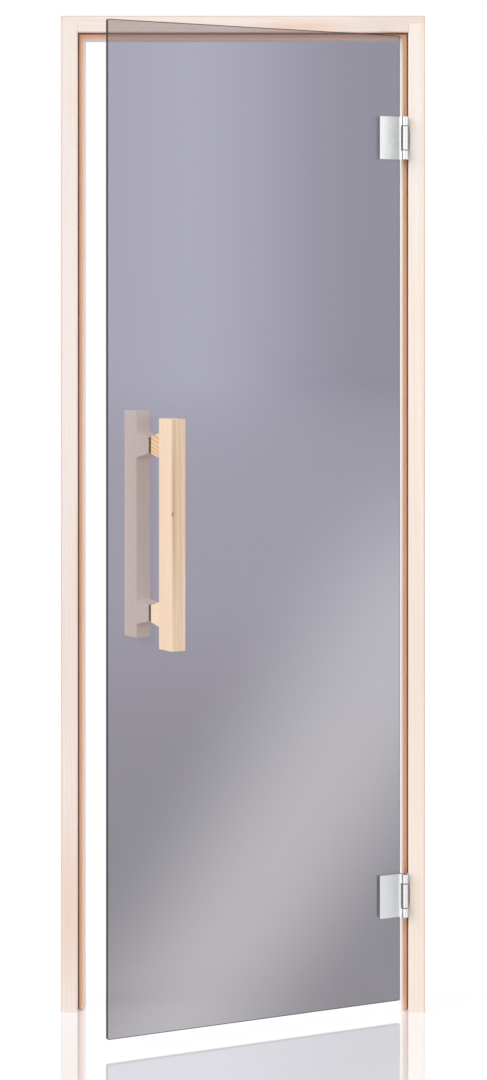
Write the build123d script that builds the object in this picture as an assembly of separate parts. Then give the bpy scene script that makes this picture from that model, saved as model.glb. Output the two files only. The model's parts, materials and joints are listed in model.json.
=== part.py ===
from build123d import *
import os

# Sauna door: a frameless glass leaf on two glass-clamp hinges in a three-sided timber frame.
# X runs along the wall towards the hinge side, Y from outside to inside, Z up. Millimetres.
# The origin is on the hinge jamb's outer side face, at floor level and half way through the frame.

# Timber frame
frame_width = 690.0
frame_height = 1890.0
frame_depth = 70.0
face_width = 31.0
stop_width = 12.0
rebate_depth = 20.0
head_lap = 14.5
inner_arris = 2.0
outer_arris = 1.2
fixing_radius = 4.0
fixing_spread = 1210.0
fixing_setback = 8.0
corner_screw_radius = 2.25
corner_screw_length = 55.0
corner_screw_spread = 40.0

# Brown seal in the rebate, its hollow bulb and the kerf for its foot
seal_width = 9.0
seal_height = 5.6
seal_wall = 1.3
seal_flange = 2.6
seal_foot = 2.4
foot_offset = 3.0
foot_length = 6.0
kerf_clearance = 0.2
seal_floor_gap = 2.0

# Glass leaf
glass_thickness = 8.0
glass_recess = 6.0
hinge_gap = 8.0
handle_gap = 6.0
top_gap = 6.0
bottom_gap = 22.0
corner_radius = 3.0
edge_bevel = 0.8
glass_hole = 7.0
bush_clearance = 0.2

# Hinges
open_angle = 28.5
axis_inset = 38.0
axis_reach = 10.5
hinge_height = 81.0
lower_hinge_z = 223.5
upper_hinge_drop = 232.5
barrel_radius = 5.2
pin_radius = 2.5
pin_clearance = 0.05
middle_knuckle = 44.0
washer_thickness = 1.6
washer_clearance = 0.1
leaf_thickness = 3.0
leaf_setback = 0.5
leaf_bulge = 3.0
leaf_fit = 0.1
leaf_seal_gap = 0.5
leaf_screw_spread = 28.5
leaf_screw_radius = 2.0
leaf_screw_head = 4.0
leaf_screw_length = 21.5
clamp_thickness = 7.0
clamp_grip = 49.0
clamp_round = 1.2
knuckle_slot = 1.6
slot_floor = 5.5
pad_thickness = 0.8
pad_margin = 1.0
back_plate_thickness = 6.0
back_plate_width = 35.0
back_plate_inset = 9.0
back_plate_margin = 3.0
clamp_screw_radius = 3.0
clamp_screw_spread = 22.0
clamp_screw_inset = 26.5
clamp_screw_depth = 5.0
clamp_screw_head = 5.0
clamp_head_height = 3.0
counterbore_depth = 3.4
screw_clearance = 0.15

# Handle
handle_inset = 99.0
handle_z = 929.0
bar_width = 29.0
bar_depth = 50.0
bar_length = 414.0
post_height = 30.0
post_rise = 9.0
post_drop = 6.0
post_side_step = 1.0
outer_post_length = 34.0
inner_post_length = 48.0
post_inset = 55.0
post_lift = 5.5
handle_pad = 1.0
handle_round = 2.0
handle_end_bevel = 0.8
stud_radius = 4.0
stud_depth = 26.0

# Positions that follow from the sizes above
front = -frame_depth / 2
back = frame_depth / 2
stop_face = front + rebate_depth
hinge_rebate = -face_width
handle_rebate = face_width - frame_width
head_rebate = frame_height - face_width
jamb_height = frame_height - head_lap
glass_front = front + glass_recess
glass_back = glass_front + glass_thickness
hinge_edge = hinge_rebate - hinge_gap
free_edge = handle_rebate + handle_gap
glass_bottom = bottom_gap
glass_top = head_rebate - top_gap
axis_x = -axis_inset
axis_y = front - axis_reach
handle_x = free_edge + handle_inset
upper_hinge_z = frame_height - upper_hinge_drop
hinge_heights = (lower_hinge_z, upper_hinge_z)
leaf_front = front + leaf_setback
leaf_back = stop_face - seal_height - leaf_seal_gap
leaf_y = (leaf_front + leaf_back) / 2
leaf_face = hinge_rebate - leaf_thickness
slot_half = middle_knuckle / 2 + washer_thickness + 2 * washer_clearance
post_reach = bar_length / 2 - post_inset
post_heights = (handle_z + post_lift - post_reach, handle_z + post_lift + post_reach)
fixing_heights = [frame_height / 2 + share * fixing_spread for share in (-1 / 2, -1 / 6, 1 / 6, 1 / 2)]


def block(x0, x1, y0, y1, z0, z1):
    """A box between two corners."""
    return Pos((x0 + x1) / 2, (y0 + y1) / 2, (z0 + z1) / 2) * Box(x1 - x0, y1 - y0, z1 - z0)


def rod(x, y, z, radius, length, axis):
    """A cylinder whose near end is at the point and which runs along the axis."""
    return Plane((x, y, z), z_dir=axis) * Cylinder(
        radius, length, align=(Align.CENTER, Align.CENTER, Align.MIN)
    )


def opened(shape):
    """The door piece, turned from shut to where the photo shows it."""
    return shape.rotate(Axis((axis_x, axis_y, 0), (0, 0, 1)), open_angle)


def mirrored(shape):
    """A piece of the hinge side, mirrored to the handle side."""
    return mirror(shape, Plane((-frame_width / 2, 0, 0), z_dir=(1, 0, 0)))


# Timber frame


def rebated_section():
    """Jamb section from its outer side at zero: the face strip, and the stop behind the rebate."""
    section = make_face(
        Polyline(
            (0, front),
            (hinge_rebate, front),
            (hinge_rebate, stop_face),
            (hinge_rebate - stop_width, stop_face),
            (hinge_rebate - stop_width, back),
            (0, back),
            (0, front),
        )
    )
    section = fillet(section.vertices().group_by(Axis.X)[0], inner_arris)
    nose = section.vertices().filter_by_position(Axis.X, hinge_rebate - 0.1, hinge_rebate + 0.1)
    section = fillet(nose.sort_by(Axis.Y)[0], inner_arris)
    return fillet(section.vertices().group_by(Axis.X)[-1], outer_arris)


def kerfs():
    """The three grooves in the stop's face for the seal's foot."""
    near = foot_offset - kerf_clearance
    far = foot_offset + seal_foot + kerf_clearance
    deep = stop_face + foot_length + kerf_clearance
    upright = block(hinge_rebate - far, hinge_rebate - near, stop_face, deep, 0, head_rebate - near)
    across = block(
        handle_rebate + near, hinge_rebate - near, stop_face, deep, head_rebate - far, head_rebate - near
    )
    return upright + mirrored(upright) + across


def countersunk(x, y, z, radius, head, length, axis):
    """Countersunk screw blank, its flat head's centre at the point."""
    sink = Plane((x, y, z), z_dir=axis) * Cone(
        head, radius, head - radius, align=(Align.CENTER, Align.CENTER, Align.MIN)
    )
    return sink + rod(x, y, z, radius, length, axis)


def cross_recess(x, y, z, reach, axis):
    """Cross-shaped recess for a driver, centred on a screw's head."""
    arm = Box(2 * reach, reach * 0.36, reach * 0.9)
    return Plane((x, y, z), z_dir=axis) * (arm + Rot(0, 0, 90) * arm)


def corner_screw_points():
    return [(hinge_rebate / 2, -corner_screw_spread / 2), (hinge_rebate / 2, corner_screw_spread / 2)]


def corner_screw_holes():
    """Holes for the screws that pull the head down on the hinge jamb."""
    radius = corner_screw_radius + screw_clearance
    head_radius = 2 * corner_screw_radius + screw_clearance
    holes = [
        countersunk(x, y, frame_height, radius, head_radius, corner_screw_length + 1, (0, 0, -1))
        for x, y in corner_screw_points()
    ]
    return holes[0] + holes[1]


def corner_screws():
    """Four countersunk screws down through the head into the jambs' end grain."""
    screws = Part()
    for x, y in corner_screw_points():
        head_radius = 2 * corner_screw_radius
        screw = countersunk(
            x, y, frame_height, corner_screw_radius, head_radius, corner_screw_length, (0, 0, -1)
        )
        screws += screw - cross_recess(x, y, frame_height, 0.55 * head_radius, (0, 0, -1))
    return screws + mirrored(screws)


def plain_jamb():
    """Hinge-side jamb before its leaf pockets, with holes for the screws into the wall opening."""
    jamb = extrude(rebated_section(), jamb_height) - kerfs() - corner_screw_holes()
    y = front + fixing_setback
    for z in fixing_heights:
        jamb -= rod(hinge_rebate - 1, y, z, fixing_radius, face_width + 2, (1, 0, 0))
    return jamb


def hinge_jamb():
    """Hinge-side jamb with a bowed pocket and pilot holes for each hinge leaf."""
    jamb = plain_jamb()
    pilot_radius = leaf_screw_radius + screw_clearance
    for z in hinge_heights:
        pocket_height = hinge_height + 2 * leaf_fit
        jamb -= bowed_leaf(z, leaf_bulge + leaf_fit, pocket_height, front - 1, leaf_back + leaf_fit)
        for step in (-leaf_screw_spread, leaf_screw_spread):
            jamb -= rod(leaf_face, leaf_y, z + step, pilot_radius, leaf_screw_length + 2, (1, 0, 0))
    return jamb


def head():
    """Head rail: full width over the jamb tops, its rebated section let in between them."""
    section = Plane((0, 0, frame_height), x_dir=(0, 0, 1), z_dir=(-1, 0, 0)) * rebated_section()
    rail = extrude(section, frame_width)
    face_end = block(hinge_rebate, 1, front - 1, stop_face, 0, jamb_height)
    stop_end = block(hinge_rebate - stop_width, 1, stop_face, back + 1, 0, jamb_height)
    ends = face_end + stop_end
    holes = corner_screw_holes()
    return rail - ends - mirrored(ends) - kerfs() - holes - mirrored(holes)


# Seal


def seal_outline():
    """Bulb seal's section: first number from the rebate side, second out from the stop's face."""
    crown = seal_width - 1.2
    shoulder = (crown, seal_height * 0.88)
    brow = (seal_flange, seal_height * 0.82)
    outline = (
        Line((0.4, 0), (crown, 0))
        + ThreePointArc((crown, 0), (seal_width, seal_height * 0.45), shoulder)
        + ThreePointArc(shoulder, ((crown + seal_flange) / 2, seal_height), brow)
        + Line(brow, (seal_flange, seal_wall))
        + Line((seal_flange, seal_wall), (0.4, seal_wall))
        + Line((0.4, seal_wall), (0.4, 0))
    )
    return make_face(outline)


def seal_section():
    """Hollow bulb with its barbed foot."""
    bulb = seal_outline()
    hollow = offset(bulb, -seal_wall)
    foot_mid = foot_offset + seal_foot / 2
    stem = Pos(foot_mid, -foot_length / 2 + 0.05) * Rectangle(seal_foot / 2, foot_length + 0.1)
    barbs = Pos(foot_mid, -foot_length + 0.8) * Rectangle(seal_foot, 0.8)
    barbs += Pos(foot_mid, -foot_length / 2) * Rectangle(seal_foot, 0.8)
    return bulb - hollow + stem + barbs


def mitre(side):
    """Half the space about the 45 degree cut through the rebate's corner: above it, or below for -1."""
    reach = 3 * seal_width
    low_corner = (-side * reach, -side * reach)
    top_corner = (-side * reach, side * reach)
    wedge = make_face(Polyline((0, 0), low_corner, top_corner, (side * reach, side * reach), (0, 0)))
    plane = Plane((hinge_rebate, back, head_rebate), x_dir=(1, 0, 0), z_dir=(0, -1, 0))
    return extrude(plane * wedge, frame_depth)


def jamb_seal():
    """Seal on the hinge jamb, mitred at its top."""
    plane = Plane((hinge_rebate, stop_face, seal_floor_gap), x_dir=(-1, 0, 0), z_dir=(0, 0, 1))
    return extrude(plane * seal_section(), head_rebate - seal_floor_gap) - mitre(1)


def head_seal():
    """Seal under the head, mitred at both ends."""
    plane = Plane((hinge_rebate, stop_face, head_rebate), x_dir=(0, 0, -1), z_dir=(-1, 0, 0))
    strip = extrude(plane * seal_section(), hinge_rebate - handle_rebate)
    return strip - mitre(-1) - mirrored(mitre(-1))


# Fixed half of the hinge


def bowed_leaf(z, bulge, height, y0, y1):
    """Leaf blank: flat towards the door, its back bowed into the jamb along an arc over its height."""
    half = height / 2
    foot = (hinge_rebate, z - half)
    crown = (hinge_rebate, z + half)
    outline = Polyline(foot, (leaf_face, z - half), (leaf_face, z + half), crown)
    outline += ThreePointArc(crown, (hinge_rebate + bulge, z), foot)
    plane = Plane((0, y0, 0), x_dir=(1, 0, 0), z_dir=(0, -1, 0))
    return extrude(plane * make_face(outline), -(y1 - y0))


def knuckle_arm():
    """Arm in plan about the hinge axis, from the leaf round to the middle knuckle."""
    near = leaf_front - axis_y
    inner = leaf_face - axis_x
    outer = hinge_rebate - axis_x
    touch = (barrel_radius / 2, barrel_radius * 0.75**0.5)
    start = (barrel_radius, 0)
    end = (inner, near + 2)
    return make_face(Polyline(start, (outer, near), (outer, near + 2), end, touch, (0, 0), start))


def hinge_leaf(z):
    """Leaf let into the rebate's side, with the middle knuckle on its arm and two screw seats."""
    half = middle_knuckle / 2
    plane = Plane((axis_x, axis_y, z - half), x_dir=(1, 0, 0), z_dir=(0, 0, 1))
    leaf = bowed_leaf(z, leaf_bulge, hinge_height, leaf_front, leaf_back)
    leaf += extrude(plane * knuckle_arm(), middle_knuckle)
    leaf += rod(axis_x, axis_y, z - half, barrel_radius, middle_knuckle, (0, 0, 1))
    leaf -= rod(axis_x, axis_y, z - half - 1, pin_radius + pin_clearance, middle_knuckle + 2, (0, 0, 1))
    radius = leaf_screw_radius + screw_clearance
    head_radius = leaf_screw_head + screw_clearance
    depth = leaf_thickness + leaf_bulge + 1
    for step in (-leaf_screw_spread, leaf_screw_spread):
        leaf -= countersunk(leaf_face, leaf_y, z + step, radius, head_radius, depth, (1, 0, 0))
    return leaf


def leaf_screws():
    """Countersunk wood screws, flush in the leaves."""
    screws = Part()
    for z in hinge_heights:
        for height in (z - leaf_screw_spread, z + leaf_screw_spread):
            screw = countersunk(
                leaf_face,
                leaf_y,
                height,
                leaf_screw_radius,
                leaf_screw_head,
                leaf_screw_length,
                (1, 0, 0),
            )
            screws += screw - cross_recess(leaf_face, leaf_y, height, 0.55 * leaf_screw_head, (1, 0, 0))
    return screws


def hinge_pin(z):
    """Pin through all three knuckles."""
    length = hinge_height - 1.0
    return rod(axis_x, axis_y, z - length / 2, pin_radius, length, (0, 0, 1))


def hinge_washers():
    """Plastic washers above and below each middle knuckle."""
    washers = Part()
    for z in hinge_heights:
        start = middle_knuckle / 2 + washer_clearance
        for height in (z - start - washer_thickness, z + start):
            ring = rod(axis_x, axis_y, height, barrel_radius - 0.3, washer_thickness, (0, 0, 1))
            washers += ring - rod(
                axis_x, axis_y, height - 1, pin_radius + pin_clearance, washer_thickness + 2, (0, 0, 1)
            )
    return washers


# Moving half of the hinge, drawn with the door shut


def clamp_profile():
    """Clamp in plan about the hinge axis: flat plate, hollow curve up to the barrel, round knuckle."""
    plate_back = glass_front - pad_thickness - axis_y
    plate_front = plate_back - clamp_thickness
    edge = hinge_edge - axis_x
    left = edge - clamp_grip
    touch = (-barrel_radius / 2, barrel_radius * 0.75**0.5)
    curve_x = -barrel_radius - plate_front
    diagonal = plate_front * 0.5**0.5
    outline = Polyline(
        (curve_x, plate_front), (left, plate_front), (left, plate_back), (edge, plate_back), touch
    )
    outline += ThreePointArc(touch, (barrel_radius * 0.5, -barrel_radius * 0.75**0.5), (-barrel_radius, 0))
    outline += ThreePointArc((-barrel_radius, 0), (curve_x + diagonal, diagonal), (curve_x, plate_front))
    return make_face(outline)


def clamp_screw_points(z):
    x = hinge_edge - clamp_screw_inset
    return [(x, z - clamp_screw_spread), (x, z + clamp_screw_spread)]


def hinge_clamp(z):
    """Clamp on the glass's outer face, with blind screw holes and a slot for the leaf's knuckle."""
    plane = Plane((axis_x, axis_y, z - hinge_height / 2), x_dir=(1, 0, 0), z_dir=(0, 0, 1))
    clamp = extrude(plane * clamp_profile(), hinge_height)
    clamp = fillet(clamp.faces().sort_by(Axis.X)[0].edges().sort_by(Axis.Y)[0], clamp_round)
    slot = block(
        axis_x - barrel_radius - knuckle_slot,
        axis_x + 2 * barrel_radius,
        axis_y - 2 * barrel_radius,
        glass_front - pad_thickness - slot_floor,
        z - slot_half,
        z + slot_half,
    )
    clamp -= slot
    clamp -= rod(axis_x, axis_y, z - hinge_height, pin_radius + pin_clearance, 2 * hinge_height, (0, 0, 1))
    radius = clamp_screw_radius + screw_clearance
    for x, height in clamp_screw_points(z):
        clamp -= rod(x, glass_front - pad_thickness, height, radius, clamp_screw_depth + 0.5, (0, -1, 0))
    return clamp


def hinge_pad(z, x0, x1, y0, margin):
    """Thin rubber pad between a plate and the glass."""
    half = hinge_height / 2 - margin - pad_margin
    pad = block(x0 + pad_margin, x1 - pad_margin, y0, y0 + pad_thickness, z - half, z + half)
    radius = clamp_screw_radius + screw_clearance
    for x, height in clamp_screw_points(z):
        pad -= rod(x, y0 - 1, height, radius, pad_thickness + 2, (0, 1, 0))
    return pad


def outer_pad(z):
    return hinge_pad(z, hinge_edge - clamp_grip, hinge_edge, glass_front - pad_thickness, 0)


def inner_pad(z):
    right = hinge_edge - back_plate_inset
    return hinge_pad(z, right - back_plate_width, right, glass_back, back_plate_margin)


def back_plate(z):
    """Clamp plate on the glass's inner face, counterbored for the screw heads."""
    right = hinge_edge - back_plate_inset
    y0 = glass_back + pad_thickness
    y1 = y0 + back_plate_thickness
    half = hinge_height / 2 - back_plate_margin
    plate = block(right - back_plate_width, right, y0, y1, z - half, z + half)
    plate = chamfer(plate.faces().sort_by(Axis.Y)[-1].edges(), clamp_round)
    radius = clamp_screw_radius + screw_clearance
    head_radius = clamp_screw_head + 2 * screw_clearance
    for x, height in clamp_screw_points(z):
        plate -= rod(x, y0 - 1, height, radius, back_plate_thickness + 2, (0, 1, 0))
        plate -= rod(x, y1 - counterbore_depth, height, head_radius, counterbore_depth + 1, (0, 1, 0))
    return plate


def clamp_screw(x, z):
    """Low cap screw with a hexagon socket, from the back plate into the clamp."""
    seat = glass_back + pad_thickness + back_plate_thickness - counterbore_depth
    tip = glass_front - pad_thickness - clamp_screw_depth
    shank = rod(x, tip, z, clamp_screw_radius, seat - tip, (0, 1, 0))
    cap = rod(x, seat, z, clamp_screw_head, clamp_head_height, (0, 1, 0))
    cap = chamfer(cap.edges().filter_by(GeomType.CIRCLE).sort_by(Axis.Y)[-1], 0.4)
    floor = seat + clamp_head_height / 3
    socket = Plane((x, floor, z), z_dir=(0, 1, 0)) * extrude(RegularPolygon(2.3, 6), clamp_head_height)
    return shank + cap - socket


def clamp_screws():
    screws = Part()
    for z in hinge_heights:
        for x, height in clamp_screw_points(z):
            screws += clamp_screw(x, height)
    return screws


def bush(x, z, bore):
    """Plastic bush in a hole of the glass."""
    ring = rod(x, glass_front, z, glass_hole - bush_clearance, glass_thickness, (0, 1, 0))
    return ring - rod(x, glass_front - 1, z, bore, glass_thickness + 2, (0, 1, 0))


def hinge_bushes():
    bushes = Part()
    for z in hinge_heights:
        for x, height in clamp_screw_points(z):
            bushes += bush(x, height, clamp_screw_radius + screw_clearance)
    return bushes


# Glass and handle, drawn with the door shut


def glass_pane():
    """Toughened pane with ground edges and holes for the hinges and the handle."""
    pane = block(free_edge, hinge_edge, glass_front, glass_back, glass_bottom, glass_top)
    pane = fillet(pane.edges().filter_by(Axis.Y), corner_radius)
    pane = chamfer(pane.faces().filter_by(Axis.Y).edges(), edge_bevel)
    holes = clamp_screw_points(lower_hinge_z) + clamp_screw_points(upper_hinge_z)
    holes += [(handle_x, z) for z in post_heights]
    for x, z in holes:
        pane -= rod(x, glass_front - 1, z, glass_hole, glass_thickness + 2, (0, 1, 0))
    return pane


def post_length(side):
    return outer_post_length if side < 0 else inner_post_length


def handle_bar(side):
    """Rounded wooden grip on the outer (-1) or inner (1) side, where it is turned end for end."""
    near = handle_pad + post_length(side)
    face = glass_front if side < 0 else glass_back
    y = face + side * (near + bar_depth / 2)
    z = handle_z + (1 + side) * post_lift
    bar = Pos(handle_x, y, z) * Box(bar_width, bar_depth, bar_length)
    bar = fillet(bar.edges().filter_by(Axis.Z), handle_round)
    return chamfer(bar.faces().filter_by(Axis.Z).edges(), handle_end_bevel)


def handle_post(side, z):
    """Wooden stand-off flared towards the grip, with a blind hole for the stud in its glass end."""
    face = glass_front if side < 0 else glass_back
    start = face + side * handle_pad
    end = start + side * post_length(side)
    half = post_height / 2
    foot = (start, z - half)
    if side < 0:
        under, over = z - half - post_drop, z + half + post_rise
    else:
        under, over = z - half - post_rise, z + half + post_drop
    profile = Polyline(foot, (end, under), (end, over), (start, z + half), foot)
    width = bar_width - 2 * post_side_step
    plane = Plane((handle_x - width / 2, 0, 0), x_dir=(0, 1, 0), z_dir=(1, 0, 0))
    post = extrude(plane * make_face(profile), width)
    post = chamfer(post.edges().filter_by(Axis.Z).group_by(Axis.Y)[0 if side > 0 else -1], post_side_step)
    return post - rod(handle_x, start, z, stud_radius + screw_clearance, stud_depth + 1, (0, side, 0))


def handle_pads():
    """Thin pads between the posts and the glass."""
    height = post_height - 2 * pad_margin
    width = bar_width - 2 * post_side_step - 2 * pad_margin
    bore = stud_radius + screw_clearance
    pads = Part()
    for z in post_heights:
        for y in (glass_front - handle_pad / 2, glass_back + handle_pad / 2):
            pad = Pos(handle_x, y, z) * Box(width, handle_pad, height)
            pads += pad - rod(handle_x, y - handle_pad, z, bore, 2 * handle_pad, (0, 1, 0))
    return pads


def handle_stud(z):
    """Threaded stud through the glass into both posts."""
    start = glass_front - handle_pad - stud_depth
    length = glass_thickness + 2 * (handle_pad + stud_depth)
    return rod(handle_x, start, z, stud_radius, length, (0, 1, 0))


def handle_bushes():
    bore = stud_radius + screw_clearance
    return bush(handle_x, post_heights[0], bore) + bush(handle_x, post_heights[1], bore)


# Assembly


def frame_pieces():
    pieces = {
        "hinge_jamb": hinge_jamb(),
        "handle_jamb": mirrored(plain_jamb()),
        "head": head(),
        "corner_screws": corner_screws(),
        "hinge_jamb_seal": jamb_seal(),
        "handle_jamb_seal": mirrored(jamb_seal()),
        "head_seal": head_seal(),
        "leaf_screws": leaf_screws(),
    }
    for name, z in zip(("lower", "upper"), hinge_heights):
        pieces[name + "_hinge_leaf"] = hinge_leaf(z)
        pieces[name + "_hinge_pin"] = hinge_pin(z)
    return pieces


def door_pieces():
    pieces = {
        "glass_pane": glass_pane(),
        "outer_handle_bar": handle_bar(-1),
        "inner_handle_bar": handle_bar(1),
        "handle_pads": handle_pads(),
        "handle_bushes": handle_bushes(),
        "hinge_bushes": hinge_bushes(),
        "hinge_washers": hinge_washers(),
        "clamp_screws": clamp_screws(),
    }
    for name, z in zip(("lower", "upper"), post_heights):
        pieces["outer_" + name + "_handle_post"] = handle_post(-1, z)
        pieces["inner_" + name + "_handle_post"] = handle_post(1, z)
        pieces[name + "_handle_stud"] = handle_stud(z)
    for name, z in zip(("lower", "upper"), hinge_heights):
        pieces[name + "_hinge_clamp"] = hinge_clamp(z)
        pieces[name + "_hinge_back_plate"] = back_plate(z)
        pieces[name + "_hinge_outer_pad"] = outer_pad(z)
        pieces[name + "_hinge_inner_pad"] = inner_pad(z)
    return pieces


os.makedirs("parts", exist_ok=True)
for name, piece in frame_pieces().items():
    export_step(piece, f"parts/{name}.step")
for name, piece in door_pieces().items():
    export_step(opened(piece), f"parts/{name}.step")
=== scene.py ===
import json
import math

import bpy
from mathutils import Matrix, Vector


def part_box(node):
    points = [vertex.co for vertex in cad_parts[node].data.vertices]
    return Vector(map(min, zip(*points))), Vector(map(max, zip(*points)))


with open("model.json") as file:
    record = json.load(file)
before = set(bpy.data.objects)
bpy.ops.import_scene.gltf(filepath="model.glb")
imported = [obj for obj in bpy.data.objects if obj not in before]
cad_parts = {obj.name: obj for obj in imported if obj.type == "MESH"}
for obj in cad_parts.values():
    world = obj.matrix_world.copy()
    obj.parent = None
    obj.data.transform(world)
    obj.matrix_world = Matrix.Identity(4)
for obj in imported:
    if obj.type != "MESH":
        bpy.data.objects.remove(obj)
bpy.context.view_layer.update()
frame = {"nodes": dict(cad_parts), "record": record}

NODES = frame["nodes"]
MM = 0.001

# The door stands open at rest, turned about the vertical line through its hinge pins.
OPEN_ANGLE = math.radians(28.5)
PANE_NORMAL = Vector((math.sin(OPEN_ANGLE), -math.cos(OPEN_ANGLE), 0.0))
TOWARDS_FREE_EDGE = Vector((-math.cos(OPEN_ANGLE), -math.sin(OPEN_ANGLE), 0.0))

# The frame, in mm: its width and height, and how far its front stands from the middle of the wall.
FRAME_WIDTH, FRAME_HEIGHT, FRAME_FRONT = 690, 1890, -35
# The clamps, measured along the pane from the hinge side and out from its middle: web, free edge and face.
CLAMP_WEB, CLAMP_EDGE, CLAMP_FACE = 60.3 * MM, 105.1 * MM, 13.2 * MM
# The pane's edge at the hinges, measured the same way.
HINGE_EDGE = 56.1 * MM
# The leaf, measured across the doorway: the mouth and the depth of its knuckle's slot, where the knuckle's painted
# shade starts and is full, and its bowed back, where its painted shadow starts and is full.
SLOT_MOUTH, SLOT_DEPTH = -40.6 * MM, -43.2 * MM
LEAF_BACK_FROM, LEAF_BACK_TO = -31.6 * MM, -30.6 * MM
# The seal, measured in from the frame's face: where its painted shade at the root is full and where that ends,
# then where the painted light on its thin lip starts and is full.
SEAL_ROOT, SEAL_ROOT_ENDS = 1.2 * MM, 2.8 * MM
SEAL_LIP_FROM, SEAL_LIP_TO = 6.0 * MM, 9.0 * MM
# The dark beside an edge of the pane: how far in from the edge it is full and where it ends, in mm.
EDGE_DARK_FULL, EDGE_DARK_ENDS = 0.8, 2.6

# Light levels, where 1 is white.
STUDIO_LEVEL = 0.74
KEY_STRENGTH = 1.20
FILL_STRENGTH = 0.42
# The share of light that a face of float glass mirrors when it is seen straight on.
FACE_ON_MIRROR = 0.043

# The photograph's eye in metres, then its focal length and its picture's height, both in pixels.
EYE = (-0.327, -5.293, 1.307)
FOCAL_PIXELS, PHOTO_HEIGHT = 2772.6, 1080
# The camera's sensor, in mm along its longer side, and how far it is shifted to frame the door.
SENSOR = 36.0
SHIFT_X, SHIFT_Y = -0.0083, -0.2007

# Settings that many nodes share.
COLOURS = {"data_type": "RGBA"}
SMOOTH = {"interpolation_type": "SMOOTHSTEP"}
TIMES, PLUS, MINUS, LARGER, DOT = ({"operation": name} for name in
                                   ("MULTIPLY", "ADD", "SUBTRACT", "MAXIMUM", "DOT_PRODUCT"))
WHITE = (1.0, 1.0, 1.0, 1.0)


def linear(hex_colour):
    """An sRGB hex colour as the linear RGBA that Blender's sockets take."""
    parts = [int(hex_colour[i:i + 2], 16) / 255 for i in (1, 3, 5)]
    return tuple(c / 12.92 if c <= 0.04045 else ((c + 0.055) / 1.055) ** 2.4 for c in parts) + (1.0,)


def add(tree, kind, inputs=None, **settings):
    """Adds one node with its settings. Each input takes a value, another node's output or, from a node, the first
    output in use."""
    node = tree.nodes.new("ShaderNode" + kind)
    for name, setting in settings.items():
        setattr(node, name, setting)
    for name, source in (inputs or {}).items():
        if isinstance(source, bpy.types.Node):
            source = next(output for output in source.outputs if output.enabled)
        if isinstance(source, bpy.types.NodeSocket):
            tree.links.new(source, node.inputs[name])
        else:
            node.inputs[name].default_value = source
    return node


def new_material(name):
    """An empty node material and its tree."""
    material = bpy.data.materials.new(name)
    material.use_nodes = True
    material.node_tree.nodes.clear()
    return material, material.node_tree


# ---------------------------------------------------------------- wood

def along_grain(axis, across, along):
    """How many cells of a pattern fill a metre: fewer along the grain than across it."""
    cells = [across, across, across]
    cells[axis] = along
    return cells


def spot(tree, place, centre, radii):
    """1 at a place in the wood and 0 beyond its radii, in mm."""
    moved = add(tree, "Mapping", {"Vector": place, "Location": [-c / r for c, r in zip(centre, radii)],
                                  "Scale": [1 / (r * MM) for r in radii]})
    distance = add(tree, "VectorMath", {0: moved}, operation="LENGTH")
    return add(tree, "MapRange", {"Value": distance, "From Min": 1.0, "From Max": 0.0}, **SMOOTH)


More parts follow.
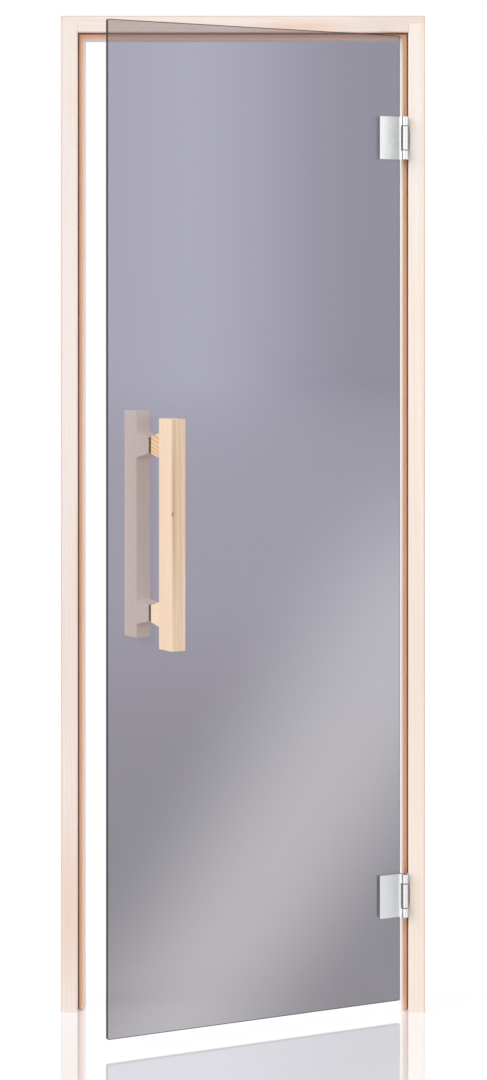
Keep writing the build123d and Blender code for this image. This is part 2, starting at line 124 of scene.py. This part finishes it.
def wood(name, early, late, warm, grain, pith, ring_mm, turn=0.0, lean=0.9, ring_share=0.5, fibre_share=0.4,
         roughness=(0.5, 0.62), marks=()):
    """Planed softwood. Growth rings are shells about the pith, a line beside the board that runs with the grain
    or leans off it by some degrees. A mark is a centre and radii in mm, a shade, and how much of it shows."""
    material, tree = new_material(name)
    place = add(tree, "TexCoord").outputs["Object"]
    axis = "XYZ".index(grain)
    turned = add(tree, "Mapping", {"Vector": place, "Rotation": (0.0, 0.0, -turn)})

    # The trunk wanders: its rings bend by some mm over a hand's length along the grain.
    stretched = add(tree, "Mapping", {"Vector": turned, "Scale": along_grain(axis, 7.0, 2.2)})
    wander = add(tree, "TexNoise", {"Vector": stretched, "Scale": 1.0, "Detail": 3.0, "Roughness": 0.45})
    bend = add(tree, "VectorMath", {0: wander.outputs["Color"], 1: (0.5, 0.5, 0.5)}, **MINUS)
    bend = add(tree, "VectorMath", {0: bend, 3: 9 * MM}, operation="SCALE")
    bent = add(tree, "VectorMath", {0: turned, 1: bend}, **PLUS)
    middle = add(tree, "Mapping", {"Vector": bent, "Location": [-c * MM for c in pith]})
    tilt = [0.0, 0.0, 0.0]
    tilt[(axis + 2) % 3] = math.radians(lean)
    about_pith = add(tree, "Mapping", {"Vector": middle, "Rotation": tilt})
    rings = add(tree, "TexWave", {"Vector": about_pith, "Scale": math.tau / (20 * ring_mm * MM), "Distortion": 1.6,
                                  "Detail": 2.0, "Detail Scale": 0.4},
                wave_type="RINGS", rings_direction=grain, wave_profile="SAW").outputs["Fac"]
    late_wood = add(tree, "ValToRGB", {"Fac": rings})
    ramp = late_wood.color_ramp
    ramp.elements[0].position, ramp.elements[0].color = 0.25, (0, 0, 0, 1)
    ramp.elements[1].position, ramp.elements[1].color = 0.88, (1, 1, 1, 1)
    ramp.elements.new(1.0).color = (0.2, 0.2, 0.2, 1)

    # Fibres are 0.05 mm wide; bundles of them are drawn 1.5 mm wide, so that they show.
    bundles = along_grain(axis, 1 / (1.5 * MM), 1 / (70 * MM))
    fibre_place = add(tree, "Mapping", {"Vector": turned, "Scale": bundles})
    fibres = add(tree, "TexNoise", {"Vector": fibre_place, "Scale": 1.0, "Detail": 4.0, "Roughness": 0.6})
    broad_place = add(tree, "Mapping", {"Vector": turned, "Scale": along_grain(axis, 11.0, 1.7)})
    clouds = add(tree, "TexNoise", {"Vector": broad_place, "Scale": 1.0, "Detail": 2.0})

    patches = add(tree, "MapRange", {"Value": clouds, "From Min": 0.3, "From Max": 0.7, "To Min": 0.35}, **SMOOTH)
    ringed = add(tree, "Math", {0: late_wood, 1: ring_share}, **TIMES)
    ringed = add(tree, "Math", {0: ringed, 1: patches}, **TIMES)
    colour = add(tree, "Mix", {0: ringed, 6: linear(early), 7: linear(late)}, **COLOURS)
    blush = add(tree, "MapRange", {"Value": clouds, "From Min": 0.42, "From Max": 0.72, "To Max": 0.55}, **SMOOTH)
    colour = add(tree, "Mix", {0: blush, 6: colour, 7: linear(warm)}, **COLOURS)
    fibred = add(tree, "MapRange", {"Value": fibres, "From Min": 0.35, "From Max": 0.75, "To Max": fibre_share},
                 **SMOOTH)
    colour = add(tree, "Mix", {0: fibred, 6: colour, 7: linear(late)}, blend_type="MULTIPLY", **COLOURS)
    for centre, radii, shade, share in marks:
        # A mark in full strength stays where it is put; a fainter one follows the trunk's bends.
        there = spot(tree, bent if share < 1 else turned, centre, radii)
        there = add(tree, "Math", {0: there, 1: share}, **TIMES)
        colour = add(tree, "Mix", {0: there, 6: colour, 7: linear(shade)}, **COLOURS)

    rough = add(tree, "MapRange", {"Value": fibres, "From Min": 0.3, "From Max": 0.7, "To Min": roughness[0],
                                   "To Max": roughness[1]}, **SMOOTH)
    ridges = add(tree, "Math", {0: rings, 1: 0.4}, **TIMES)
    height = add(tree, "Math", {0: fibres, 1: ridges}, **PLUS)
    bump = add(tree, "Bump", {"Height": height, "Strength": 0.35, "Distance": 0.25 * MM})
    shader = add(tree, "BsdfPrincipled", {"Base Color": colour, "Roughness": rough, "Normal": bump, "IOR": 1.5,
                                          "Specular IOR Level": 0.35})
    add(tree, "OutputMaterial", {"Surface": shader})
    return material


# Planed pine for the frame, left raw for the heat: nearly white sapwood, with thin growth rings that hardly
# darken it, and a faint blush of resin.
FRAME_LIGHT, FRAME_RING, FRAME_BLUSH = "#fbf3ee", "#f1dacb", "#f8e5db"
FRAME_FINISH = {"ring_share": 0.42, "fibre_share": 0.14}
# Painted shade on the eased outer corners, where the rounded arris turns away from the light: the frame's front
# edge at each side and on top.
EDGE_PAINTED_SHADE = "#d6b9a8"
hinge_edge_painted_shade = ((0, FRAME_FRONT, FRAME_HEIGHT / 2), (3.4, 10, 3000), EDGE_PAINTED_SHADE, 1.0)
handle_edge_painted_shade = ((-FRAME_WIDTH, FRAME_FRONT, FRAME_HEIGHT / 2), (3.4, 10, 3000), EDGE_PAINTED_SHADE, 1.0)
top_edge_painted_shade = ((-FRAME_WIDTH / 2, FRAME_FRONT, FRAME_HEIGHT), (3000, 10, 2.6), EDGE_PAINTED_SHADE, 1.0)
# Warmer stretches of sapwood, one low on each jamb and two on the head.
hinge_jamb_warmth = ((-14, FRAME_FRONT, 560), (60, 60, 900), "#fce6d5", 0.5)
handle_jamb_warmth = ((-676, FRAME_FRONT, 190), (40, 60, 260), "#f1d6c4", 0.75)
head_warmth = (((-235, FRAME_FRONT, 1868), (150, 60, 18), "#f3cfb4", 0.75),
               ((-40, FRAME_FRONT, 1876), (150, 60, 40), "#eed9cb", 0.6))
pine_hinge_jamb = wood("planed_pine_hinge_jamb", "#fff8f0", "#f5dfcc", "#fdebdc", "Z", (34, 46, 0), 5.2,
                       marks=(hinge_jamb_warmth, hinge_edge_painted_shade), **FRAME_FINISH)
pine_handle_jamb = wood("planed_pine_handle_jamb", FRAME_LIGHT, FRAME_RING, FRAME_BLUSH, "Z", (-735, 60, 0), 4.6,
                        marks=(handle_jamb_warmth, handle_edge_painted_shade), **FRAME_FINISH)
pine_head = wood("planed_pine_head", FRAME_LIGHT, FRAME_RING, FRAME_BLUSH, "X", (0, 60, 1925), 5.0,
                 marks=(*head_warmth, hinge_edge_painted_shade, handle_edge_painted_shade, top_edge_painted_shade), **FRAME_FINISH)

# Sanded pine for the handle. The outer grip is oiled and so yellower than the frame. The inner grip is painted
# paler than the frame's wood: painted light that makes up for the light it loses behind the tinted pane.
OUTER_TONES = ("#fbe5cf", "#e2bb94", "#f4d6b9")
INNER_PAINTED_LIGHT_TONES = ("#fffbf8", "#f4e8de", "#fdf3ec")
# A knot on the outer grip's front, and the band of close late wood that runs through it.
KNOT_AND_BAND = (((3, -22, 60), (15, 12, 480), "#d3ab80", 0.4), ((-8, -24, 60), (7, 12, 330), "#cda377", 0.7),
                 ((-11.5, -25, 38), (3.0, 4, 8), "#a87c50", 1.0))


def middle_in_turned_axes(name):
    """The middle of a piece in mm, on axes that turn with the pane."""
    x, y, z = ((low + high) / 2 / MM for low, high in zip(*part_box(name)))
    c, s = math.cos(OPEN_ANGLE), math.sin(OPEN_ANGLE)
    return c * x + s * y, -s * x + c * y, z


def bar_wood(node, tones, pith_along, pith_out, marks=()):
    """The wood of one bar, with the grain upright and the pith beside it."""
    x, y, z = middle_in_turned_axes(node)
    placed = [((x + mx, y + my, z + mz), radii, shade, share) for (mx, my, mz), radii, shade, share in marks]
    return wood("sanded_pine_" + node, *tones, "Z", (x + pith_along, y + pith_out, 0), 4.2, turn=OPEN_ANGLE,
                ring_share=0.55, fibre_share=0.22, roughness=(0.42, 0.55), marks=placed)


def post_wood(node, light, ring, ring_share, ring_mm=5.6, lean=2.0):
    """The wood of one post, with the grain running out from the pane."""
    x, y, z = middle_in_turned_axes(node)
    return wood("sanded_pine_" + node, light, ring, light, "Y", (x - 30, y, z + 30), ring_mm, turn=OPEN_ANGLE,
                lean=lean, ring_share=ring_share, fibre_share=0.15, roughness=(0.42, 0.55))


# ---------------------------------------------------------------- glass

def tinted_glass():
    """Grey float glass, toughened, 8 mm: clear to look through, with edges ground and polished.
    Down its edge the eye looks through a hand's breadth of glass, which is nearly black."""
    material, tree = new_material("grey_float_glass")
    coordinates = add(tree, "TexCoord")
    place = coordinates.outputs["Object"]
    across = add(tree, "VectorMath", {0: coordinates.outputs["Normal"], 1: PANE_NORMAL}, **DOT)
    across = add(tree, "Math", {0: across}, operation="ABSOLUTE")
    on_edge = add(tree, "MapRange", {"Value": across, "From Min": 0.98, "From Max": 0.6}, **SMOOTH)
    # The dark of an edge also shows a little way in, beside the edge.
    along = add(tree, "VectorMath", {0: place, 1: TOWARDS_FREE_EDGE}, **DOT)
    height = add(tree, "SeparateXYZ", {0: place}).outputs["Z"]
    foot, top = (corner[2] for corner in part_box("glass_pane"))
    for source, edge_at, inwards in ((along, HINGE_EDGE, MM), (height, foot, MM), (height, top, -MM)):
        beside = add(tree, "MapRange", {"Value": source, "From Min": edge_at + EDGE_DARK_ENDS * inwards,
                                        "From Max": edge_at + EDGE_DARK_FULL * inwards, "To Max": 0.8}, **SMOOTH)
        on_edge = add(tree, "Math", {0: on_edge, 1: beside}, **LARGER)

    facing = add(tree, "LayerWeight", {"Blend": 0.5}).outputs["Facing"]
    slant = add(tree, "Math", {0: facing, 1: 5.0}, operation="POWER")
    mirror = add(tree, "Math", {0: slant, 1: 1 - FACE_ON_MIRROR}, **TIMES)
    mirror = add(tree, "Math", {0: mirror, 1: FACE_ON_MIRROR}, **PLUS)
    # The eye sees the tint, a little at each face; the lamps' light passes, so that what stands behind is lit.
    path = add(tree, "LightPath")
    lamp_light = add(tree, "Math", {0: path.outputs["Is Shadow Ray"], 1: path.outputs["Is Diffuse Ray"]}, **LARGER)
    eye_light = add(tree, "Math", {0: 1.0, 1: lamp_light}, **MINUS)
    mirror = add(tree, "Math", {0: mirror, 1: eye_light}, **TIMES)
    tint = add(tree, "Mix", {0: lamp_light, 6: linear("#ddd8d9"), 7: WHITE}, **COLOURS)
    through = add(tree, "BsdfTransparent", {"Color": tint})
    gloss = add(tree, "BsdfGlossy", {"Color": WHITE, "Roughness": 0.12})
    face = add(tree, "MixShader", {0: mirror, 1: through, 2: gloss})

    grinding = add(tree, "TexNoise", {"Vector": place, "Scale": 1 / (2.5 * MM), "Detail": 3.0})
    edge_colour = add(tree, "Mix", {0: grinding, 6: linear("#0c0f0f"), 7: linear("#1d2221")}, **COLOURS)
    edge_rough = add(tree, "MapRange", {"Value": grinding, "From Min": 0.3, "From Max": 0.7, "To Min": 0.12,
                                        "To Max": 0.26}, **SMOOTH)
    edge = add(tree, "BsdfPrincipled", {"Base Color": edge_colour, "Roughness": edge_rough, "IOR": 1.52,
                                        "Specular IOR Level": 0.25})
    outside = add(tree, "Math", {0: 1.0, 1: add(tree, "NewGeometry").outputs["Backfacing"]}, **MINUS)
    edge_share = add(tree, "Math", {0: on_edge, 1: outside}, **TIMES)
    both = add(tree, "MixShader", {0: edge_share, 1: face, 2: edge})
    add(tree, "OutputMaterial", {"Surface": both})
    return material


# ---------------------------------------------------------------- metal, rubber and plastic

def satin_metal(name, low, high, roughness, grit_mm, stroke_mm, strength, painted_shading=None):
    """Metal brushed with a belt: fine upright scratches that spread a reflection sideways. Where given,
    painted_shading paints shade onto its colour."""
    material, tree = new_material(name)
    coordinates = add(tree, "TexCoord")
    place = coordinates.outputs["Object"]
    strokes = (1 / (grit_mm * MM), 1 / (grit_mm * MM), 1 / (stroke_mm * MM))
    stretched = add(tree, "Mapping", {"Vector": place, "Scale": strokes})
    scratches = add(tree, "TexNoise", {"Vector": stretched, "Scale": 1.0, "Detail": 3.0, "Roughness": 0.65})
    touch = add(tree, "TexNoise", {"Vector": place, "Scale": 1 / (14 * MM), "Detail": 2.0})
    colour = add(tree, "Mix", {0: scratches, 6: linear(low), 7: linear(high)}, **COLOURS)
    if painted_shading:
        colour = painted_shading(tree, coordinates, colour)
    brushed = add(tree, "MapRange", {"Value": scratches, "From Min": 0.3, "From Max": 0.7, "To Min": roughness[0],
                                     "To Max": roughness[1]}, **SMOOTH)
    touched = add(tree, "MapRange", {"Value": touch, "From Min": 0.4, "From Max": 0.7, "To Max": 0.05}, **SMOOTH)
    rough = add(tree, "Math", {0: brushed, 1: touched}, **PLUS)
    bump = add(tree, "Bump", {"Height": scratches, "Strength": strength, "Distance": 0.05 * MM})
    shader = add(tree, "BsdfPrincipled", {"Base Color": colour, "Roughness": rough, "Normal": bump,
                                          "Metallic": 1.0})
    add(tree, "OutputMaterial", {"Surface": shader})
    return material


def moulded(name, low, high, roughness, ior, grain_mm, strength, subsurface=0.0, painted_light_and_shade=None):
    """Rubber or plastic from a die or mould: one colour that drifts a little, with a fine skin. Where given,
    painted_light_and_shade paints shade and light onto its colour."""
    material, tree = new_material(name)
    place = add(tree, "TexCoord").outputs["Object"]
    skin = add(tree, "TexNoise", {"Vector": place, "Scale": 1 / (grain_mm * MM), "Detail": 3.0})
    drift = add(tree, "TexNoise", {"Vector": place, "Scale": 6.0, "Detail": 2.0})
    colour = add(tree, "Mix", {0: drift, 6: linear(low), 7: linear(high)}, **COLOURS)
    if painted_light_and_shade:
        colour = painted_light_and_shade(tree, place, colour)
    rough = add(tree, "MapRange", {"Value": skin, "From Min": 0.3, "From Max": 0.7, "To Min": roughness[0],
                                   "To Max": roughness[1]}, **SMOOTH)
    bump = add(tree, "Bump", {"Height": skin, "Strength": strength, "Distance": 0.05 * MM})
    shader = add(tree, "BsdfPrincipled", {"Base Color": colour, "Roughness": rough, "Normal": bump, "IOR": ior,
                                          "Subsurface Weight": subsurface, "Subsurface Scale": 2 * MM})
    add(tree, "OutputMaterial", {"Surface": shader})
    return material


def clamp_painted_shade(tree, coordinates, colour):
    """Painted shade on the clamp: its face is painted darker from its free edge towards the knuckle, less so on
    the lower clamp; its narrow side is painted a darker grey, and beside the web the slot for the leaf's knuckle
    is painted near black, where there is only shade."""
    place, normal = coordinates.outputs["Object"], coordinates.outputs["Normal"]
    along = add(tree, "VectorMath", {0: place, 1: TOWARDS_FREE_EDGE}, **DOT)
    out = add(tree, "VectorMath", {0: place, 1: PANE_NORMAL}, **DOT)
    height = add(tree, "SeparateXYZ", {0: place}).outputs["Z"]
    fading = add(tree, "MapRange", {"Value": along, "From Min": CLAMP_EDGE, "From Max": CLAMP_WEB + 6 * MM,
                                    "To Max": 0.78}, **SMOOTH)
    # The lower clamp gets less of this painted shade than the upper one.
    shade_by_height = add(tree, "MapRange", {"Value": height, "From Min": 0.3, "From Max": 1.6, "To Min": 0.4}, **SMOOTH)
    painted_face_shade = add(tree, "Math", {0: fading, 1: shade_by_height}, **TIMES)
    painted_face_shade = add(tree, "Math", {0: painted_face_shade, 1: 0.28}, **PLUS)
    on_plate = add(tree, "MapRange", {"Value": along, "From Min": CLAMP_WEB + 2 * MM,
                                      "From Max": CLAMP_WEB + 6 * MM}, **SMOOTH)
    painted_face_shade = add(tree, "Math", {0: painted_face_shade, 1: on_plate}, **TIMES)
    colour = add(tree, "Mix", {0: painted_face_shade, 6: colour, 7: linear("#c8c9c6")}, blend_type="MULTIPLY", **COLOURS)

    # Painted shade on the clamp's narrow side at its free edge.
    facing = add(tree, "VectorMath", {0: normal, 1: TOWARDS_FREE_EDGE}, **DOT)
    sideways = add(tree, "MapRange", {"Value": facing, "From Min": 0.75, "From Max": 0.95}, **SMOOTH)
    near_edge = add(tree, "Math", {0: along, 1: CLAMP_EDGE - 3 * MM}, operation="GREATER_THAN")
    side = add(tree, "Math", {0: sideways, 1: near_edge}, **TIMES)
    colour = add(tree, "Mix", {0: side, 6: colour, 7: linear("#b5b6b8")}, **COLOURS)

    # Painted shade: the slot for the leaf's knuckle, beside the web, is painted near black.
    near_web = add(tree, "Math", {0: along, 1: CLAMP_WEB + 0.2 * MM}, operation="LESS_THAN")
    deep = add(tree, "Math", {0: out, 1: CLAMP_FACE + 8 * MM}, operation="LESS_THAN")
    slot = add(tree, "Math", {0: near_web, 1: deep}, **TIMES)
    return add(tree, "Mix", {0: slot, 6: colour, 7: linear("#1f2123")}, **COLOURS)


def leaf_painted_shade(tree, coordinates, colour):
    """Painted shade on the leaf: its knuckle is painted dark down in its slot, and its bowed back, let into the
    jamb, is painted dark grey as a shadow.
    """
    across = add(tree, "SeparateXYZ", {0: coordinates.outputs["Object"]}).outputs["X"]
    painted_knuckle_shade = add(tree, "MapRange", {"Value": across, "From Min": SLOT_MOUTH, "From Max": SLOT_DEPTH}, **SMOOTH)
    colour = add(tree, "Mix", {0: painted_knuckle_shade, 6: colour, 7: linear("#3a3d3f")}, **COLOURS)
    painted_back_shadow = add(tree, "MapRange", {"Value": across, "From Min": LEAF_BACK_FROM, "From Max": LEAF_BACK_TO},
                  **SMOOTH)
    return add(tree, "Mix", {0: painted_back_shadow, 6: colour, 7: linear("#857c79")}, **COLOURS)


def seal_painted_light(tree, place, colour):
    """Painted shade and light on the seal: down in its groove, beside the frame, it is painted dark as shade; its
    thin lip, on the doorway's side, is painted lighter as light.
    """
    parts = add(tree, "SeparateXYZ", {0: place})
    handle_side = add(tree, "Math", {0: parts.outputs["X"], 1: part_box("handle_jamb_seal")[0][0]}, **MINUS)
    hinge_side = add(tree, "Math", {0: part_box("hinge_jamb_seal")[1][0], 1: parts.outputs["X"]}, **MINUS)
    above = add(tree, "Math", {0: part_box("head_seal")[1][2], 1: parts.outputs["Z"]}, **MINUS)
    from_frame = add(tree, "Math", {0: handle_side, 1: hinge_side}, operation="MINIMUM")
    from_frame = add(tree, "Math", {0: from_frame, 1: above}, operation="MINIMUM")
    painted_lip_light = add(tree, "MapRange", {"Value": from_frame, "From Min": SEAL_LIP_FROM, "From Max": SEAL_LIP_TO,
                                 "To Max": 0.6}, **SMOOTH)
    colour = add(tree, "Mix", {0: painted_lip_light, 6: colour, 7: linear("#ffeadb")}, **COLOURS)
    painted_root_shade = add(tree, "MapRange", {"Value": from_frame, "From Min": SEAL_ROOT_ENDS, "From Max": SEAL_ROOT,
                                  "To Max": 0.85}, **SMOOTH)
    return add(tree, "Mix", {0: painted_root_shade, 6: colour, 7: linear("#7a3f1c")}, **COLOURS)


# Brass plated with chrome and brushed: pale, cool and soft in its reflections. Scratches of 0.05 mm are drawn
# 0.5 mm apart, so that they show.
BRUSHED = {"roughness": (0.26, 0.38), "grit_mm": 0.5, "stroke_mm": 12, "strength": 0.35}
chrome_clamp = satin_metal("brushed_satin_chrome_clamp", "#d9dadc", "#eaebec", painted_shading=clamp_painted_shade, **BRUSHED)
chrome_leaf = satin_metal("brushed_satin_chrome_leaf", "#d8dadb", "#e9eaeb", painted_shading=leaf_painted_shade, **BRUSHED)
satin_chrome = satin_metal("brushed_satin_chrome", "#cfd1d4", "#e6e7e8", **BRUSHED)
# Zinc-plated steel, rolled and passivated: greyer, with a faint cloud in its plating.
zinc_steel = satin_metal("zinc_plated_steel", "#a9acb0", "#c6c8ca", (0.3, 0.45), 0.8, 3, 0.2)
# Extruded silicone, brown, which lets a little light in at its thin walls; painted shade darkens its root and
# painted light brightens its lip.
brown_silicone = moulded("extruded_brown_silicone", "#efb591", "#f5c3a2", (0.38, 0.5), 1.41, 1.2, 0.2, 0.15,
                         seal_painted_light)
# Cut sheet rubber between the clamps and the glass, dull and dark grey.
sheet_rubber = moulded("cut_sheet_rubber", "#47484b", "#58595c", (0.6, 0.75), 1.5, 0.8, 0.4)
# Vinyl pads cut for the handle's posts, warm grey, with a slight gloss.
grey_vinyl = moulded("cut_grey_vinyl", "#95887f", "#a5978f", (0.3, 0.42), 1.54, 0.8, 0.15, 0.3)
# Moulded nylon, slightly waxy: dark for the hinge washers and white for the bushes in the glass.
dark_nylon = moulded("moulded_dark_nylon", "#47484a", "#555658", (0.4, 0.5), 1.53, 0.6, 0.15)
white_nylon = moulded("moulded_nylon", "#e9e8e4", "#f3f2ee", (0.35, 0.45), 1.53, 0.6, 0.15, 0.2)

MATERIALS = {
    "hinge_jamb": pine_hinge_jamb,
    "handle_jamb": pine_handle_jamb,
    "head": pine_head,
    "glass_pane": tinted_glass(),
    "outer_handle_bar": bar_wood("outer_handle_bar", OUTER_TONES, 40, -60, KNOT_AND_BAND),
    "inner_handle_bar": bar_wood("inner_handle_bar", INNER_PAINTED_LIGHT_TONES, -45, 55),
    "handle_pads": grey_vinyl,
    "lower_hinge_clamp": chrome_clamp,
    "upper_hinge_clamp": chrome_clamp,
    "lower_hinge_leaf": chrome_leaf,
    "upper_hinge_leaf": chrome_leaf,
    "hinge_washers": dark_nylon,
    "outer_upper_handle_post": post_wood("outer_upper_handle_post", "#f9d5ad", "#b06a28", 1.0, 6.0, -14.0),
    "outer_lower_handle_post": post_wood("outer_lower_handle_post", "#fbe4c9", "#e3bd96", 0.4),
    # Painted light: the inner posts are near white like the inner grip, to make up for the light they lose behind
    # the tinted pane.
    "inner_upper_handle_post": post_wood("inner_upper_handle_post", "#fffbf8", "#f4e8de", 0.4),
    "inner_lower_handle_post": post_wood("inner_lower_handle_post", "#fffbf8", "#f4e8de", 0.4),
}
BY_SLOT = {
    "brown_seal": brown_silicone,
    "satin_chrome": satin_chrome,
    "zinc_steel": zinc_steel,
    "pad_rubber": sheet_rubber,
    "white_plastic": white_nylon,
}
slot_of = {part["node"]: part["material_slot"] for part in frame["record"]["subparts"]}
for name, node in NODES.items():
    material = MATERIALS.get(name) or BY_SLOT[slot_of[name]]
    node.data.materials.clear()
    node.data.materials.append(material)


# ---------------------------------------------------------------- floor, lamps and camera

def bare_view(tree):
    """Two switches: what the camera, a metal or a glass sees of the studio with no pane before it, and all that
    they see of it. Both are 0 for the studio's light."""
    path = add(tree, "LightPath")
    seen = add(tree, "Math", {0: path.outputs["Is Camera Ray"], 1: path.outputs["Is Glossy Ray"]}, **LARGER)
    seen = add(tree, "Math", {0: seen, 1: path.outputs["Is Transmission Ray"]}, **LARGER)
    no_pane = add(tree, "Math", {0: path.outputs["Transparent Depth"], 1: 1.5}, operation="LESS_THAN")
    return add(tree, "Math", {0: seen, 1: no_pane}, **TIMES), seen


def studio():
    """The room's even light, the white round the door and the cooler wall seen through the pane."""
    world = bpy.data.worlds.new("studio")
    bpy.context.scene.world = world
    world.use_nodes = True
    tree = world.node_tree
    tree.nodes.clear()
    bare, seen = bare_view(tree)
    light = add(tree, "Background", {"Color": WHITE, "Strength": STUDIO_LEVEL})
    direction = add(tree, "TexCoord").outputs["Generated"]
    sideways = add(tree, "SeparateXYZ", {0: direction}).outputs["X"]
    # The wall is darker to the right of the pane's middle and a little darker at its left.
    right = add(tree, "MapRange", {"Value": sideways, "From Min": -0.025, "From Max": 0.045}, **SMOOTH)
    left = add(tree, "MapRange", {"Value": sideways, "From Min": -0.02, "From Max": -0.055}, **SMOOTH)
    cool = add(tree, "Mix", {0: right, 6: linear("#dae3f9"), 7: linear("#b1b6c9")}, **COLOURS)
    cool = add(tree, "Mix", {0: left, 6: cool, 7: linear("#d3dbef")}, **COLOURS)
    behind = add(tree, "Background", {"Color": cool, "Strength": 1.0})
    white = add(tree, "Background", {"Color": WHITE, "Strength": 1.0})
    room = add(tree, "MixShader", {0: seen, 1: light, 2: behind})
    shown = add(tree, "MixShader", {0: bare, 1: room, 2: white})
    add(tree, "OutputWorld", {"Surface": shown})


# The pool of light on the floor, in metres: how far left of the hinges its middle starts and how far it drifts
# right over each metre away from the door, then its half width there and what each metre adds to it.
POOL_LEFT, POOL_DRIFT = 0.45, 0.125
POOL_HALF_WIDTH, POOL_WIDENING = 0.30, 0.08
# Where the pool starts to fade and where it is gone, in metres behind the door.
POOL_FADES, POOL_ENDS = 4.0, 24.0
# The floor in metres: half its side, the middle of the door's foot, how far from there its polish holds and ends,
# and how far off it starts to fade into the room and is gone.
FLOOR_HALF = 200.0
DOOR_FOOT = (-0.345, -0.15, 0.0)
POLISH_HOLDS, POLISH_ENDS = 0.3, 1.3
FLOOR_FADES, FLOOR_ENDS = 8.0, 60.0
# How much the polish mirrors, and what the floor adds to its own light when seen bare and when seen at all.
POLISH_SHARE = 0.5
LIFT_BARE, LIFT_SEEN = 0.35, 0.25


def floor():
    """A wide white floor whose polish mirrors the foot of the door, with a soft pool of light running away from
    it."""
    corners = [(-FLOOR_HALF, -FLOOR_HALF, 0), (FLOOR_HALF, -FLOOR_HALF, 0), (FLOOR_HALF, FLOOR_HALF, 0),
               (-FLOOR_HALF, FLOOR_HALF, 0)]
    mesh = bpy.data.meshes.new("studio_floor")
    mesh.from_pydata(corners, [], [(0, 1, 2, 3)])
    piece = bpy.data.objects.new("studio_floor", mesh)
    bpy.context.scene.collection.objects.link(piece)
    material, tree = new_material("polished_white_floor")
    bare, seen = bare_view(tree)
    place = add(tree, "TexCoord").outputs["Object"]
    parts = add(tree, "SeparateXYZ", {0: place})
    across, away = parts.outputs["X"], parts.outputs["Y"]
    from_door = add(tree, "VectorMath", {0: place, 1: DOOR_FOOT}, operation="DISTANCE")

    drift = add(tree, "Math", {0: away, 1: POOL_DRIFT}, **TIMES)
    middle = add(tree, "Math", {0: drift, 1: POOL_LEFT}, **MINUS)
    off = add(tree, "Math", {0: across, 1: middle}, **MINUS)
    off = add(tree, "Math", {0: off}, operation="ABSOLUTE")
    widening = add(tree, "Math", {0: away, 1: POOL_WIDENING}, **TIMES)
    width = add(tree, "Math", {0: widening, 1: POOL_HALF_WIDTH}, **PLUS)
    share_off = add(tree, "Math", {0: off, 1: width}, operation="DIVIDE")
    pool = add(tree, "MapRange", {"Value": share_off, "From Min": 1.0, "From Max": 0.0}, **SMOOTH)
    not_far = add(tree, "MapRange", {"Value": away, "From Min": POOL_ENDS, "From Max": POOL_FADES}, **SMOOTH)
    pool = add(tree, "Math", {0: pool, 1: not_far}, **TIMES)
    before_pane = add(tree, "VectorMath", {0: place, 1: PANE_NORMAL}, **DOT)
    behind_pane = add(tree, "MapRange", {"Value": before_pane, "From Min": 0.08, "From Max": -0.02}, **SMOOTH)
    pool = add(tree, "Math", {0: pool, 1: behind_pane}, **TIMES)
    near = add(tree, "Mix", {0: pool, 6: linear("#828997"), 7: linear("#d7e0e6")}, **COLOURS)
    far = add(tree, "Mix", {0: pool, 6: linear("#a5abc4"), 7: linear("#dae5ef")}, **COLOURS)
    farness = add(tree, "MapRange", {"Value": from_door, "From Min": 1.0, "From Max": 9.0}, **SMOOTH)
    tone = add(tree, "Mix", {0: farness, 6: near, 7: far}, **COLOURS)
    # That pool is seen through the pane. Bare, the floor is one tone, and it throws more light back up than it
    # shows.
    tone = add(tree, "Mix", {0: bare, 6: tone, 7: linear("#b5b5ba")}, **COLOURS)
    tone = add(tree, "Mix", {0: seen, 6: linear("#d4cecb"), 7: tone}, **COLOURS)
    base = add(tree, "BsdfDiffuse", {"Color": tone})
    lift_bare = add(tree, "Math", {0: bare, 1: LIFT_BARE}, **TIMES)
    lift_seen = add(tree, "Math", {0: seen, 1: LIFT_SEEN}, **TIMES)
    strength = add(tree, "Math", {0: lift_bare, 1: lift_seen}, **PLUS)
    lift = add(tree, "Emission", {"Color": WHITE, "Strength": strength})
    body = add(tree, "AddShader", {0: base, 1: lift})
    mirror = add(tree, "BsdfGlossy", {"Color": WHITE, "Roughness": 0.06})
    polish = add(tree, "MapRange", {"Value": from_door, "From Min": POLISH_HOLDS, "From Max": POLISH_ENDS,
                                    "To Min": POLISH_SHARE, "To Max": 0.0}, **SMOOTH)
    polish = add(tree, "Math", {0: bare, 1: polish}, **TIMES)
    both = add(tree, "MixShader", {0: polish, 1: body, 2: mirror})
    # Far off it fades into the room, so that no skyline shows.
    gone = add(tree, "BsdfTransparent", {"Color": WHITE})
    fading = add(tree, "MapRange", {"Value": from_door, "From Min": FLOOR_FADES, "From Max": FLOOR_ENDS}, **SMOOTH)
    faded = add(tree, "MixShader", {0: fading, 1: both, 2: gone})
    add(tree, "OutputMaterial", {"Surface": faded})
    mesh.materials.append(material)


def sun(name, towards, strength, angle):
    """A soft lamp, far off in the given direction."""
    lamp = bpy.data.lights.new(name, "SUN")
    lamp.energy = strength
    lamp.angle = math.radians(angle)
    holder = bpy.data.objects.new(name, lamp)
    holder.rotation_mode = "QUATERNION"
    holder.rotation_quaternion = Vector(towards).to_track_quat("Z", "Y")
    bpy.context.scene.collection.objects.link(holder)


def camera():
    """The photograph's eye: level, straight on and well above the middle, with the view shifted down."""
    data = bpy.data.cameras.new("camera")
    data.sensor_width = SENSOR
    data.lens = FOCAL_PIXELS / PHOTO_HEIGHT * SENSOR
    data.shift_x = SHIFT_X
    data.shift_y = SHIFT_Y
    data.clip_end = 500.0
    eye = bpy.data.objects.new("camera", data)
    eye.location = EYE
    eye.rotation_euler = (math.radians(90), 0.0, 0.0)
    bpy.context.scene.collection.objects.link(eye)
    bpy.context.scene.camera = eye


studio()
floor()
sun("key", (-0.74, -0.56, 0.42), KEY_STRENGTH, 50)
sun("fill", (0.7, -0.5, 0.4), FILL_STRENGTH, 60)
camera()
bpy.context.scene.view_settings.view_transform = "Standard"
